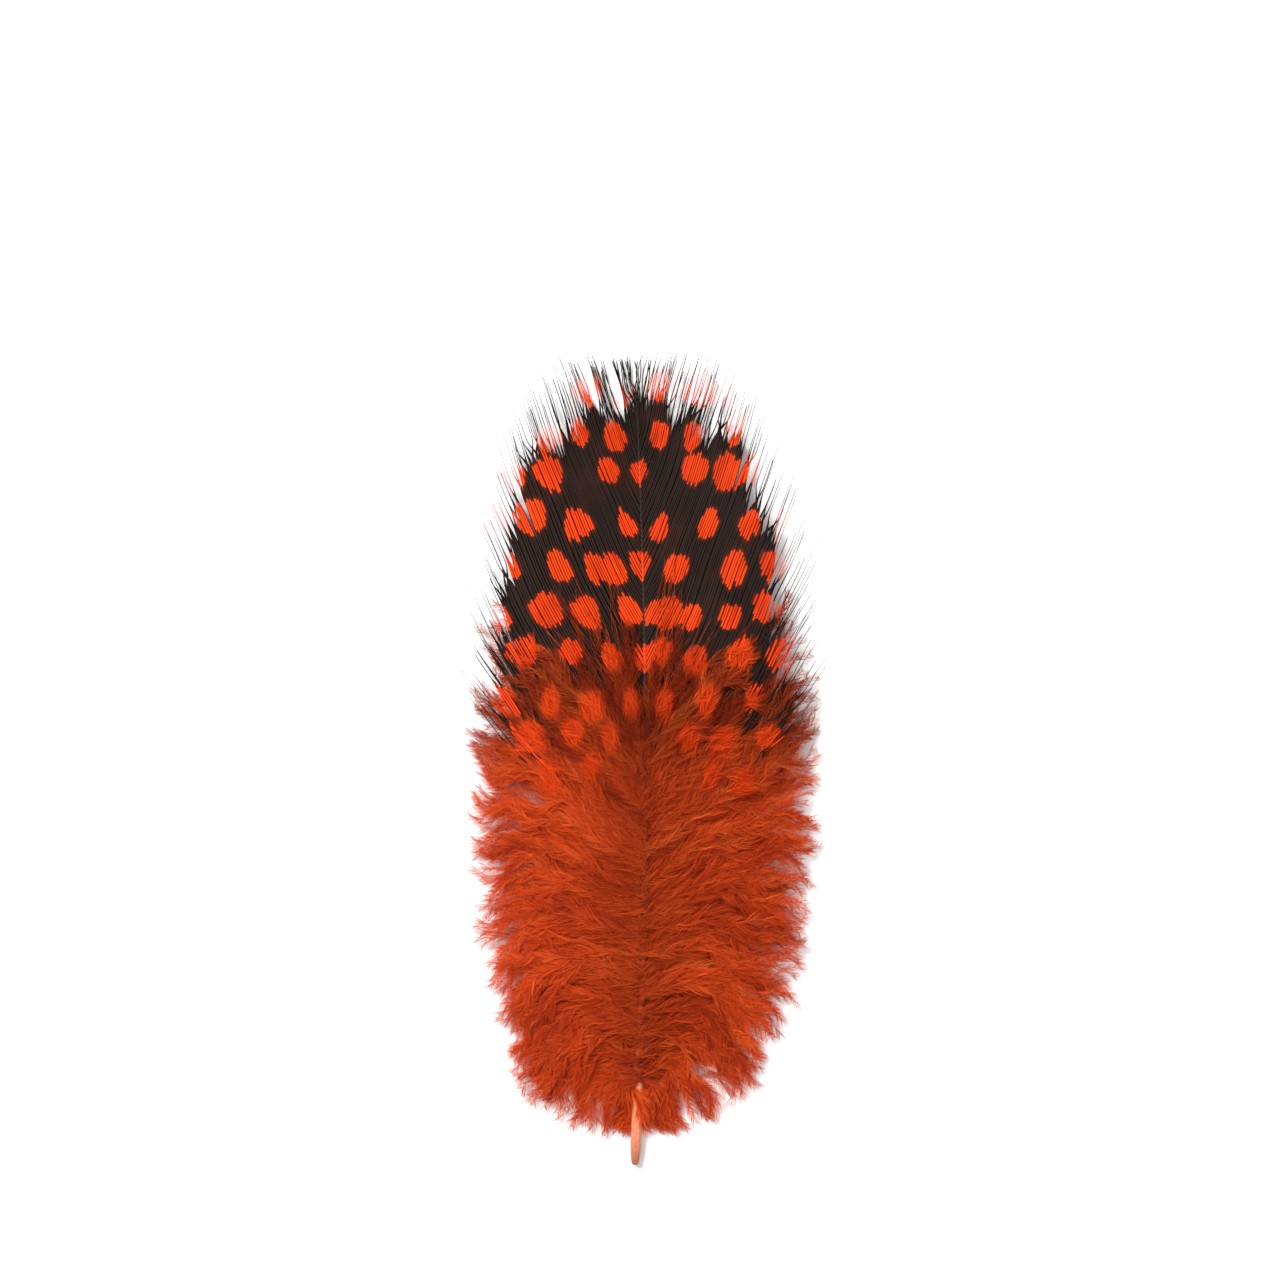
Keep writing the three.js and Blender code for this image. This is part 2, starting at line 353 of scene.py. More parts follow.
# %% Skinning rings
def skin(rings):
    """Points and triangles of closed tubes over rings.
    The array's axes are strand, station, corner, and x, y, z."""
    strands, stations, corners, _ = rings.shape
    number = np.arange(strands * stations * corners).reshape(strands, stations, corners)
    turned = np.roll(number, -1, axis=2)
    a = number[:, :-1]
    b = turned[:, :-1]
    c = turned[:, 1:]
    d = number[:, 1:]
    halves = [np.stack(corner, -1).reshape(-1, 3) for corner in ((a, b, c), (a, c, d))]
    caps = []
    for corner in range(1, corners - 1):
        first = number[:, 0]
        last = number[:, -1]
        caps.append(np.stack([first[:, 0], first[:, corner + 1], first[:, corner]], -1))
        caps.append(np.stack([last[:, 0], last[:, corner], last[:, corner + 1]], -1))
    return rings.reshape(-1, 3), np.concatenate([*halves, *caps])


_, strand_triangles = skin(np.zeros((1, 2, 3, 3)))
print("a strand of two three-cornered rings:", len(strand_triangles), "triangles")

# %% Mesh from arrays
MAP_MARGIN = 0.01


def map_along(share):
    """Place on the flat map, from side to side, of a share of the way along a strand."""
    return mix(MAP_MARGIN, 1 - MAP_MARGIN, share)


def new_piece(name, points, triangles, fields, strip_map, material, slot):
    """A piece from points in feather millimetres, with one value of each field for each point."""
    mesh = bpy.data.meshes.new(name)
    mesh.vertices.add(len(points))
    mesh.vertices.foreach_set("co", ((points + ORIGIN) * MM).astype(np.float32).ravel())
    corners = triangles.astype(np.int32).ravel()
    mesh.loops.add(len(corners))
    mesh.loops.foreach_set("vertex_index", corners)
    mesh.polygons.add(len(triangles))
    mesh.polygons.foreach_set("loop_start", np.arange(0, len(corners), 3, dtype=np.int32))
    mesh.polygons.foreach_set("use_smooth", np.ones(len(triangles), bool))
    mesh.update(calc_edges=True)
    for field_name, values in fields.items():
        attribute = mesh.attributes.new(field_name, "FLOAT", "POINT")
        attribute.data.foreach_set("value", values.astype(np.float32).ravel())
    layer = mesh.uv_layers.new(name="OFBake")
    layer.data.foreach_set("uv", strip_map[corners].astype(np.float32).ravel())
    mesh.materials.append(material)
    piece = link(bpy.data.objects.new(name, mesh))
    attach(piece, "root")
    print(name, len(triangles), "triangles")
    return piece


# %% [markdown]
# The spots.
# A guinea fowl's spots sit in loose rows, and each barb makes its own stretch of every spot that it
# crosses, so a spot's rim has one small step for each barb. Some are round, some slim or drop-shaped,
# and neighbours run together. A texture laid over the vane would give smooth rims. Here each barb is
# measured against the spots' ovals along its own line, with a shift of its own, and the finish only has
# to ask whether that measure is above zero.

# %% Rows of spots
# Each row's distance from the quill's end, and its spots' distances to the right of the shaft
SPOT_ROWS = [
    (105.2, (-6.9, -2.2, 3.4, 8.3, 11.4)),
    (99.3, (-12.4, -8.2, -3.3, 2.8, 7.4, 13.6)),
    (94.0, (-16.9, -12.3, -4.3, -0.1, 7.4, 12.2, 15.7)),
    (87.3, (-19.9, -15.0, -8.8, -2.1, 2.6, 9.3, 14.9, 19.4)),
    (81.3, (-17.6, -11.2, -6.3, -4.0, -0.3, 4.5, 12.6, 17.8)),
    (75.2, (-19.2, -12.9, -7.6, -2.0, 1.1, 3.3, 6.1, 11.5, 16.6)),
    (69.4, (-16.4, -9.9, -4.6, -0.1, 2.3, 6.7, 12.9, 18.6)),
    (63.4, (-18.8, -12.8, -7.1, -1.9, 2.5, 8.2, 14.3)),
    (58.3, (-15.6, -9.8, -4.6, 5.8, 10.4, 16.2)),
    (53.0, (-12.9, -7.4, 8.8, 13.1)),
]
SPOT_HALF_LENGTH = 2.15
SPOT_HALF_WIDTH = 1.8
SPOT_SHIFT = 0.45
SPOT_SIZES = (0.82, 1.16)
SPOT_SLIMNESS = (0.7, 1.12)
SPOT_TAILS = (-0.45, 0.45)
SPOT_SQUARENESS = (1.9, 2.7)
SHAFT_CROWDING = 0.72
CROWDED_TO = (1.0, 4.0)

rng = np.random.default_rng(11)
spots = []
for row_y, row in SPOT_ROWS:
    for sideways in row:
        y = row_y + rng.normal(0, SPOT_SHIFT)
        size = rng.uniform(*SPOT_SIZES)
        crowding = mix(SHAFT_CROWDING, 1.0, smooth(*CROWDED_TO, abs(sideways)))
        half_width = SPOT_HALF_WIDTH * size * crowding * rng.uniform(*SPOT_SLIMNESS)
        shape = (rng.uniform(*SPOT_TAILS), rng.uniform(*SPOT_SQUARENESS))
        spots.append((shaft_x(y) + sideways, y, SPOT_HALF_LENGTH * size, half_width, *shape))
print(len(spots), "spots")

# %% Measuring against the spots
FAR_OUTSIDE = -9.0


def spot_measure(x, y, forward_x, forward_y, shift, stretch):
    """How far inside the nearest spot each point is: 1 at its middle, 0 on its rim.
    The barb's own shift and stretch step the rim from barb to barb."""
    best = np.full(x.shape, FAR_OUTSIDE)
    for spot_x, spot_y, half_length, half_width, tail, square in spots:
        along = ((x - spot_x) * forward_x + (y - spot_y) * forward_y + shift) / (half_length * stretch)
        across = ((x - spot_x) * forward_y - (y - spot_y) * forward_x) / half_width
        across = across / (1 - tail * np.clip(along, -1, 1))
        far = (np.abs(along) ** square + np.abs(across) ** square) ** (1 / square)
        best = np.maximum(best, 1 - far)
    return best


first_x, first_y = (np.array([value]) for value in spots[0][:2])
print("measure in the middle of a spot:", spot_measure(first_x, first_y, 0.0, 1.0, 0.0, 1.0))

# %% [markdown]
# The shaft.
# On the real feather the quill is a clear horny tube, tinted by the dye, with a blunt end and a small
# pit where the feather once drew its blood. It narrows into a shaft that turns dark in the vane. A lathe
# would make it straight, so the rings are placed along the arched line instead. The finish reads how far
# along the shaft a point is.

# %% The quill and shaft
SHAFT_SIDES = 20
SHAFT_STATIONS = 150
QUILL_FULL = 3.0
PIT = [(0.02, 1.2), (0.17, 1.05), (0.22, 0.6), (0.26, 0.12)]
RIM = [(0.28, 0.03), (0.33, 0.0), (0.41, 0.07), (0.49, 0.22), (0.56, 0.5), (0.63, 1.0), (0.70, 1.9)]
SHAFT_POINT = (0.02, SHAFT_END + 0.3)
UNDER_GROOVE = 0.16
GROOVE_FROM, GROOVE_FULL = 20, 60
GROOVE_RIM, GROOVE_BOTTOM = -0.6, -1.0

shaft_y = np.linspace(QUILL_FULL, SHAFT_END, SHAFT_STATIONS)
profile = np.array(PIT + RIM + list(zip(shaft_radius(shaft_y), shaft_y)) + [SHAFT_POINT])
turns = np.linspace(0, 2 * np.pi, SHAFT_SIDES, endpoint=False)
ring_y = np.repeat(profile[:, 1:], SHAFT_SIDES, 1)
ring_x = shaft_x(ring_y) + profile[:, :1] * np.cos(turns)
underside = smooth(GROOVE_RIM, GROOVE_BOTTOM, np.sin(turns))
groove = 1 - UNDER_GROOVE * smooth(GROOVE_FROM, GROOVE_FULL, ring_y) * underside
ring_z = shaft_z(ring_y) + profile[:, :1] * np.sin(turns) * groove
rings = np.stack([ring_x, ring_y, ring_z], -1)[None]
shaft_mesh, shaft_triangles = skin(rings[:, :, ::-1])
print("shaft:", len(profile), "rings")

# %% What the shaft's finish reads
SPOTTED_FROM = 66.0
SHAFT_MAP_EDGE = 0.98

shaft_spot = spot_measure(ring_x, ring_y, 0 * ring_x, 1 + 0 * ring_x, 0, 1)
shaft_spot = np.where(ring_y > SPOTTED_FROM, shaft_spot, -1)
in_pit = np.arange(len(profile))[:, None] < len(PIT)
shaft_fields = {
    "along": (ring_y / LENGTH).ravel(),
    "spot": shaft_spot[:, ::-1].ravel(),
    "pit": np.repeat(in_pit, SHAFT_SIDES, 1).ravel(),
}
map_x = map_along(np.linspace(0, 1, len(profile)))[:, None]
map_y = np.abs(np.linspace(-SHAFT_MAP_EDGE, SHAFT_MAP_EDGE, SHAFT_SIDES))[None]
shaft_map = np.stack(np.broadcast_arrays(map_x, map_y), -1).reshape(-1, 2)
print("shaft points in spots:", int((shaft_spot > 0).sum()))

# %% [markdown]
# The horny finish.
# Horn is smooth, a little shiny, and lets light in, so the bare quill looks warm and its tip darker. The
# tint runs from salmon at the quill, through rust under the down, to charcoal in the vane, with fine
# streaks along its length. Where down grows the shaft is matt, because a shine there would show between
# the threads.

# %% Quill finish
SHAFT_TINTS = (
    (0.0, (0.40, 0.095, 0.050)),
    (0.04, (0.78, 0.24, 0.115)),
    (0.12, (0.78, 0.21, 0.085)),
    (0.20, (0.52, 0.064, 0.013)),
    (0.50, (0.42, 0.045, 0.009)),
    (0.58, (0.022, 0.012, 0.009)),
    (1.0, (0.014, 0.009, 0.007)),
)
SHAFT_SPOT_COLOUR = (0.62, 0.045, 0.006)
PIT_COLOUR = (0.16, 0.028, 0.012)


def field(tree, name):
    """A number that the mesh carries at each point."""
    return Wire(tree).node("ShaderNodeAttribute", {"attribute_name": name}, output="Fac")


horn, tree, shader = finish("dyed_horn", Specular_IOR_Level=0.4, Coat_Roughness=0.2)
along = field(tree, "along")
streaks = cloud(tree, 0.5)
spotted = field(tree, "spot").step(0.0, 0.08)
tint = spotted.blend(along.ramp(*SHAFT_TINTS), SHAFT_SPOT_COLOUR)
tint = field(tree, "pit").blend(tint, PIT_COLOUR)
feed(
    tree,
    shader,
    Base_Color=streaks.step(0.2, 0.8, 0.75, 1.1).shade(tint),
    Roughness=along.step(0.1, 0.22, 0.30, 0.80) + 0.1 * streaks,
    Coat_Weight=along.step(0.08, 0.2, 0.35, 0.0),
)
quill = new_piece("quill_and_shaft", shaft_mesh, shaft_triangles, shaft_fields, shaft_map, horn, "quill")
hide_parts("shaft")

# %% [markdown]
# The vane.
# Its barbs hook together into a sheet: each is a ridge with a thin skirt on both sides that slips over
# its neighbour's. One bent plate would show no barbs and could not fray. So every barb is its own slim
# keeled strip, as wide as the space to the next one. Towards its end it narrows to a hair, and there the
# vane opens, its hairs gathering in small tufts. The lowest barbs stay loose, and are rusty and downy at
# their roots. The closed barbs lie steeply against the shaft, so each leaves it lower down than its tip
# alone would ask.

# %% Where the vane's barbs grow
VANE_START = 58
VANE_BARBS = 88
LOOSE_BARBS = 25
LOOSE_START = 46.0
LAST_ROOT = SHAFT_END - 0.3
ROOT_SHIFT = 0.05
STEEPNESS = 12.0
VANE_LEAN = np.radians(6)


def vane_point(side, root, along):
    """Plan place on a barb of the vane, which lies closer to the shaft than loose down does."""
    below_tip = np.clip((LAST_ROOT - root) / (LAST_ROOT - VANE_START), 0, 1)
    settled = smooth(LOOSE_START - (VANE_START - LOOSE_START), VANE_START, root)
    return barb_point(side, root, along, STEEPNESS * below_tip * settled, VANE_LEAN)


def vane_roots(rng):
    """Where on the shaft one vane's barbs grow, from the lowest loose one up."""
    loose = np.linspace(LOOSE_START, VANE_START, LOOSE_BARBS, endpoint=False)
    closed = np.linspace(VANE_START, LAST_ROOT, VANE_BARBS)
    root = np.concatenate([loose, closed])[:, None]
    return np.minimum(root + rng.normal(0, ROOT_SHIFT, root.shape), LAST_ROOT)


print("barbs in a vane:", LOOSE_BARBS + VANE_BARBS)

# %% Where the barbs open to hairs
VANE_STATIONS = 60
REACH_CHANGE = (-0.02, 0.04)
REACH_LIMITS = (0.84, 1.04)
HAIR_LENGTH = (6.0, 11.5)
LOOSE_HAIR = 1.3
HAIR_DRIFT = 3
MOST_HAIR = 0.62
MOST_TIP_HAIR = 0.88
TIP_ROOTS = (92, 101)
OPENING_SHARE = 0.5


def wander(rng, count, width):
    """Random values from 0 to 1, one for each barb, that change slowly from barb to barb."""
    rough = rng.normal(size=count + 6 * width)
    bell = np.exp(-np.linspace(-2, 2, 4 * width + 1) ** 2)
    even = np.convolve(rough, bell, "same")[3 * width : 3 * width + count]
    return np.argsort(np.argsort(even)) / (count - 1)


def barb_length(side, root):
    """Straight distance from a barb's root to its tip."""
    start_x, start_y = barb_point(side, root, 0.0)
    end_x, end_y = barb_point(side, root, 1.0)
    return np.hypot(end_x - start_x, end_y - start_y)


def open_barbs(side, rng):
    """One vane's barbs: where they grow, the share along them of each station, and where they open."""
    vane = SimpleNamespace(side=side, root=vane_roots(rng))
    vane.each = vane.root.shape
    vane.below = np.clip((VANE_START - vane.root) / (VANE_START - LOOSE_START), 0, 1)
    reach = np.clip(1 + rng.normal(*REACH_CHANGE, vane.each), *REACH_LIMITS)
    vane.along = np.linspace(0, 1, VANE_STATIONS)[None] * reach
    hair = mix(*HAIR_LENGTH, wander(rng, len(vane.root), HAIR_DRIFT))[:, None]
    hair = hair * mix(1.0, LOOSE_HAIR, vane.below)
    most = mix(MOST_HAIR, MOST_TIP_HAIR, smooth(*TIP_ROOTS, vane.root))
    opens = 1 - np.minimum(hair / barb_length(side, vane.root), most)
    vane.opening = smooth(opens, mix(opens, 1.0, OPENING_SHARE), vane.along)
    return vane


longest = barb_length(1, np.linspace(LOOSE_START, LAST_ROOT, VANE_BARBS)).max()
print("longest barb in mm:", longest.round(1), "with hairs of", HAIR_LENGTH)

# %% [markdown]
# Laying the barbs.
# A barb's own path says where it runs, but strips also need to know which way is across the sheet and
# which is up, or they would twist. Those directions are measured from the sheet itself. Beside the shaft
# the barbs close over its edge, and near the feather's tip they hide it.

# %% Laying the vane's barbs
TILT_REACH = 0.05
TUFT_BARBS = 4
TUFT_MIXING = 0.6
TUFT_GATHER = (0.05, 0.6)
ROOT_ZONE = 0.2
SHAFT_COVER = 0.6
HIDING_ROOTS = (93, 99)


def unit(vectors):
    return vectors / np.maximum(np.linalg.norm(vectors, axis=-1, keepdims=True), 1e-9)


def lie(lines, side):
    """Directions along, across and up for points of strands that lie in the feather's sheet.
    Across points to the quill's end of the feather."""
    along = unit(np.gradient(lines, axis=1))
    flat = unit(np.stack([side * along[..., 1], -side * along[..., 0], 0 * along[..., 0]], -1))
    ahead = lines + TILT_REACH * flat
    behind = lines - TILT_REACH * flat
    rise = sheet_height(ahead[..., 0], ahead[..., 1]) - sheet_height(behind[..., 0], behind[..., 1])
    across = flat.copy()
    across[..., 2] = rise / (2 * TILT_REACH)
    across = unit(across)
    up = unit(np.cross(across, along) * side)
    return along, across, up


def lay_barbs(vane, rng):
    """Adds the barbs' lines in the sheet. Where barbs open, those of a tuft gather."""
    count = len(vane.root)
    number = np.arange(count)[:, None] + rng.uniform(-TUFT_MIXING, TUFT_MIXING, vane.each)
    tuft = (np.floor(number / TUFT_BARBS) + 0.5) * TUFT_BARBS
    tuft_root = np.interp(tuft, np.arange(count), vane.root[:, 0])
    gathered = mix(*TUFT_GATHER, rng.uniform(size=vane.each))
    gather_root = vane.root + (tuft_root - vane.root) * gathered * vane.opening
    x, y = vane_point(vane.side, gather_root, vane.along)
    vane.near_shaft = 1 - smooth(0.0, ROOT_ZONE, vane.along)
    inward = SHAFT_COVER * shaft_radius(vane.root) + GAP
    x = x - vane.side * inward * mix(vane.near_shaft, 1.0, smooth(*HIDING_ROOTS, vane.root))
    vane.x, vane.y = x, y
    vane.lines = np.stack([x, y, sheet_height(x, y)], -1)
    vane.forward, vane.across, vane.up = lie(vane.lines, vane.side)


print("tufts of", TUFT_BARBS, "barbs")

# %% Width of the vane's barbs
LEAST_SPACING = 0.42
SPACING_STEP = 0.2
SKIRT_OVERLAP = 1.5
LOOSE_SKIRT = 0.6
HAIR_HALF_WIDTH = 0.068
POINT_FROM = 0.8
POINT_NARROWING = 0.5


def half_widths(vane):
    """Half of the space to the next barb and its overlap, and of a hair where the barb is open."""
    upper_x, upper_y = vane_point(vane.side, vane.root + SPACING_STEP, vane.along)
    lower_x, lower_y = vane_point(vane.side, vane.root - SPACING_STEP, vane.along)
    apart = np.stack([upper_x - lower_x, upper_y - lower_y, 0 * upper_x], -1)
    spacing = np.gradient(np.sort(vane.root[:, 0]))[:, None].clip(LEAST_SPACING) / (2 * SPACING_STEP)
    skirt = np.abs((apart * vane.across).sum(-1)) * spacing / 2 * SKIRT_OVERLAP
    skirt = skirt * mix(1.0, LOOSE_SKIRT, vane.below**0.5)
    narrowing = 1 - POINT_NARROWING * smooth(POINT_FROM, 1.0, vane.along)
    return mix(skirt, HAIR_HALF_WIDTH, vane.opening) * narrowing


print("hair width in mm:", 2 * HAIR_HALF_WIDTH)

# %% Sway and splits of the vane's barbs
ANY_PHASE = (0, 6.3)
HAIR_SWAY = 0.45
LOOSE_SWAY = 0.45
HAIR_WAVE, HAIR_WAVES = 0.12, 9
BARB_WAVE, BARB_WAVES = 0.045, 7
DRIFT, DRIFT_SCALE = 0.22, 0.8
# Each split's root on the shaft, how far along the barbs it starts, and how far it opens
SPLITS = {
    -1: [(67.0, 0.55, 0.5), (79.5, 0.62, 0.4), (91.0, 0.6, 0.35)],
    1: [(72.5, 0.6, 0.45), (86.0, 0.55, 0.4)],
}
SPLIT_REACH = 1.8


def swirl(x, y, phase):
    """Smooth sideways pushes in millimetres, the same for threads that lie close together."""
    slow = np.sin(x / 4.1 + 1.4 * np.sin(y / 5.3 + phase) + phase)
    quick = np.sin(y / 2.3 - 1.1 * np.sin(x / 2.9 + 2 * phase))
    return 0.75 * slow + 0.5 * quick


def barb_sway(vane, rng):
    """How far each point strays within the sheet. Barbs move apart on both sides of a split."""
    sway = rng.normal(0, HAIR_SWAY, vane.each) * vane.opening**2
    sway = sway + rng.normal(0, LOOSE_SWAY, vane.each) * vane.below * vane.along
    hair_wave = np.sin(rng.uniform(*ANY_PHASE, vane.each) + HAIR_WAVES * vane.along)
    sway = sway + HAIR_WAVE * hair_wave * vane.opening
    drift = swirl(DRIFT_SCALE * vane.x, DRIFT_SCALE * vane.y, vane.side)
    sway = sway + DRIFT * drift * smooth(0.05, 0.4, vane.along)
    wave_size = rng.normal(0, BARB_WAVE, vane.each)
    sway = sway + wave_size * np.sin(rng.uniform(*ANY_PHASE, vane.each) + BARB_WAVES * vane.along)
    for split, depth, strength in SPLITS[vane.side]:
        away = vane.root - split
        part = np.sign(away) * strength * np.exp(-np.abs(away) / SPLIT_REACH)
        sway = sway - part * smooth(depth, 1.0, vane.along)
    return sway


print("splits:", {side: len(splits) for side, splits in SPLITS.items()})

# %% Lift, spots and rust of the vane's barbs
ROLL = 0.25
ROLL_X, ROLL_Y = 3.1, 4.3
HAIR_LIFT = 0.22
BARB_LIFT = 0.014
LOOSE_LIFT = 0.4
RIM_STEP, RAGGED_STEP = 0.15, 0.5
OPEN_RAGGEDNESS = 0.6
RIM_STRETCH, LOOSE_STRETCH = 0.09, 0.15
LEAST_RUST = 0.35
RUSTY_ROOTS = (70, 57)
FOOT_OF_VANE = (64, 55)


def barb_lift(vane, rng):
    """How far each point stands off the sheet."""
    lift = ROLL * np.sin(vane.x / ROLL_X + vane.y / ROLL_Y) * smooth(0.1, 0.6, vane.along)
    lift = lift + SHAFT_COVER * shaft_radius(vane.root) * vane.near_shaft
    lift = lift + rng.normal(0, HAIR_LIFT, vane.each) * vane.opening**2 + rng.normal(0, BARB_LIFT, vane.each)
    return lift + mix(0.0, LOOSE_LIFT, vane.below) * smooth(0.15, 0.6, vane.along)


def barb_spots(vane, rng):
    """The spots as each barb makes them, raggeder where barbs are loose or open."""
    shift = rng.normal(0, RIM_STEP, vane.each)
    ragged = rng.normal(0, RAGGED_STEP, vane.each) * (vane.below + OPEN_RAGGEDNESS * vane.opening)
    stretch = np.exp(rng.normal(0, RIM_STRETCH, vane.each)) * (1 + LOOSE_STRETCH * vane.below)
    forward_x, forward_y, _ = np.moveaxis(vane.forward, -1, 0)
    return spot_measure(vane.x, vane.y, forward_x, forward_y, shift + ragged, stretch)


def rusty_share(vane):
    """1 where a barb is rusty and downy at the foot of the vane, 0 in the closed vane."""
    loose = (vane.below + LEAST_RUST) * smooth(0.62, 0.12, vane.along) * smooth(*RUSTY_ROOTS, vane.root)
    foot = smooth(*FOOT_OF_VANE, vane.y) * smooth(0.6, 0.3, vane.along)
    return np.maximum(smooth(0.0, 0.75, loose), foot)


print("loose barbs lift by up to", LOOSE_LIFT, "mm")

# %% One vane as mesh
RIDGE_HEIGHT = 0.085
KEEL_DEPTH = 0.07
KEEL_CLEARANCE = 0.05
HAIR_RIDGE = 0.6
SECTION = np.array([[-1.0, 0.05], [-0.34, 0.42], [0.0, 1.0], [0.34, 0.42], [1.0, -0.5], [0.0, -1.0]])


def vane_piece(name, side, rng, material):
    vane = open_barbs(side, rng)
    lay_barbs(vane, rng)
    sway = barb_sway(vane, rng)[..., None]
    lift = barb_lift(vane, rng)[..., None]
    spot = barb_spots(vane, rng)
    lines = vane.lines + vane.across * sway + vane.up * lift
    lines[..., 2] = np.maximum(lines[..., 2], KEEL_DEPTH + KEEL_CLEARANCE)
    _, across, up = lie(lines, side)
    height = mix(1.0, HAIR_RIDGE, vane.opening)[..., None, None]
    tall = np.where(SECTION[:, 1] > 0, RIDGE_HEIGHT, KEEL_DEPTH) * SECTION[:, 1]
    sideways = across[..., None, :] * (half_widths(vane)[..., None] * SECTION[:, 0])[..., None]
    rings = lines[..., None, :] + sideways + up[..., None, :] * tall[:, None] * height
    points, triangles = skin(rings if side < 0 else rings[:, :, ::-1])
    order = SECTION if side < 0 else SECTION[::-1]
    shape = rings.shape[:3]

    def spread(values):
        return np.broadcast_to(values[..., None], shape)

    fields = {
        "spot": spread(spot),
        "downy": spread(rusty_share(vane)),
        "across": np.broadcast_to(order[:, 0], shape),
        "tint": spread(rng.uniform(size=vane.each)),
        "open": spread(vane.opening),
    }
    count, stations, _ = shape
    strip = (np.arange(count)[:, None, None] + 0.5 + 0.4 * fields["across"]) / count
    strip_map = np.stack([map_along(spread(np.linspace(0, 1, stations)[None])), strip], -1).reshape(-1, 2)
    fields = {key: value.ravel() for key, value in fields.items()}
    piece = new_piece(name, points, triangles, fields, strip_map, material, "vane")
    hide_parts(name.replace("_barbs", ""))


print("corners round a barb:", len(SECTION))

# %% [markdown]
# The spotted finish.
# Undyed, this vane is black with white spots, and the dye turns only the white to orange. Close up,
# every barb is a ridge with a groove beside it. The finish paints a highlight on the ridge and shade in
# the groove, which stripes the spots. Field values carried by the mesh drive it all, so no picture is
# needed: the spot measure picks orange or black, and the distance from the ridge places the painted
# highlight and shade.

# %% Vane finish
# The barbs' black, in painted shade in the grooves and with a painted highlight on the ridges.
BLACK_IN_PAINTED_GROOVE_SHADE, BLACK_WITH_PAINTED_RIDGE_HIGHLIGHT = (0.0085, 0.0045, 0.0030), (0.023, 0.0118, 0.0085)
BROWN_PATCH = (0.050, 0.012, 0.007)
SPOT_HALO = (0.10, 0.014, 0.007)
ORANGE_DEEP, ORANGE_BRIGHT = (0.66, 0.037, 0.003), (0.85, 0.060, 0.005)
RUST_DEEP, RUST_BRIGHT = (0.16, 0.017, 0.005), (0.44, 0.048, 0.009)
SIDES = (("left", -1), ("right", 1))

barb_paint, tree, shader = finish("spotted_barbs", Specular_IOR_Level=0.08)
across = abs(field(tree, "across"))
tint = field(tree, "tint")
# Painted highlight on each barb's ridge and painted shade in the groove beside it, by distance from the
# ridge.
painted_ridge_highlight = across.step(0.05, 0.5, 1.0, 0.0)
groove = across.step(0.22, 0.68, 1.0, 0.25)
closed = 1 - field(tree, "open")
inside = field(tree, "spot").step(-0.01, 0.06)
halo = field(tree, "spot").step(-0.22, 0.02)
black = (painted_ridge_highlight * closed).blend(BLACK_IN_PAINTED_GROOVE_SHADE, BLACK_WITH_PAINTED_RIDGE_HIGHLIGHT)
black = cloud(tree, 6.0).step(0.5, 0.8, 0.0, 0.5).blend(black, BROWN_PATCH)
black = (halo * tint).blend(black, SPOT_HALO)
orange = tint.blend(ORANGE_DEEP, ORANGE_BRIGHT)
# Painted groove shade stripes the orange of closed barbs.
orange = (1 - closed * (1 - groove)).shade(orange)
orange = cloud(tree, 5.0).step(0.35, 0.65, 0.8, 1.04).shade(orange)
ground = field(tree, "downy").blend(black, tint.blend(RUST_DEEP, RUST_BRIGHT))
feed(tree, shader, Base_Color=inside.blend(ground, orange), Roughness=tint.step(0.0, 1.0, 0.5, 0.66))
vane_rng = np.random.default_rng(21)
for hand, side in SIDES:
    vane_piece(f"{hand}_vane_barbs", side, vane_rng, barb_paint)

# %% [markdown]
# The down.
# Below the vane the barbs carry no hooks. Each is a limp thread with hundreds of fine barbules that
# cling to their neighbours in small tufts, and light sinks in between them. Fur made with particles
# would not leave Blender, so the threads and their barbules are mesh: a thread is a three-sided tube,
# and a barbule three triangles, bent once and turned at random. Two layers of locks, one shifted by half
# a lock, keep the floor from showing through.

# %% Loose threads in locks
THREAD_STATIONS = 26
LOCK_SIZE = 3.8
LOCK_MIXING = 0.12
LOCK_PULL = (0.4, 1.0)
STRAYS = 0.12
STRAY_REACH = 0.05
STRAY_FREEDOM = 0.8
THREAD_REACH = (0.78, 1.0)
SHORTER_ROOTS = (44, 56)


def thread_layer(**given):
    """What one layer of threads is like, with plain values for what isn't given.
    Height is a share of the sheet's own, arc the rise that bends a thread over, raised a cover's height on
    top, and steep the most by which a thread turns towards the shaft."""
    plain = dict(shift=0.0, shorter=0.0, raised=0.0, swirled=1.0, steep=0.0)
    return SimpleNamespace(**(plain | given))


def gather_threads(side, rng, layer):
    """One layer's threads: where they grow, which of them stray, and their plan places in locks."""
    down = SimpleNamespace(side=side, each=(layer.count, 1))
    down.root = np.sort(rng.uniform(layer.bottom, layer.top, down.each), axis=0)
    mixing = rng.normal(0, LOCK_MIXING, down.each)
    lock = np.floor((down.root - layer.bottom) / LOCK_SIZE + layer.shift + mixing)
    lock_root = layer.bottom + (lock + 0.5 - layer.shift) * LOCK_SIZE
    down.stray = rng.uniform(size=down.each) < STRAYS
    length = layer.reach * rng.uniform(*THREAD_REACH, down.each)
    length = length * (1 - layer.shorter * smooth(*SHORTER_ROOTS, down.root)) + STRAY_REACH * down.stray
    down.along = np.linspace(0, 1, THREAD_STATIONS)[None]
    pull = layer.gather * smooth(0.0, 0.9, down.along) * rng.uniform(*LOCK_PULL, down.each)
    pull = pull * (1 - STRAY_FREEDOM * down.stray)
    down.x, down.y = barb_point(side, down.root + (lock_root - down.root) * pull, down.along * length)
    return down


print("share of stray threads:", STRAYS)

# %% Bending and raising the threads
FAN_TOP = 17.0
FAN_SPREAD = (-2.0, 3.5)
TURN_CLIMB = 0.7
LOW_ARC, HIGH_ARC = 1.25, 0.3
HIGH_CLIMB = 0.5
ARC_SPREAD = (0.4, 1.5)
OVER_SHAFT = (0.0, 0.9)
OVER_RISE = 0.7
ROOT_RISE = 0.15
TIP_LEVEL = 0.5
HEIGHT_WAVE, HEIGHT_WAVES = 0.15, 8
QUILL_MARGIN, QUILL_CLEARANCE = 0.2, 0.15


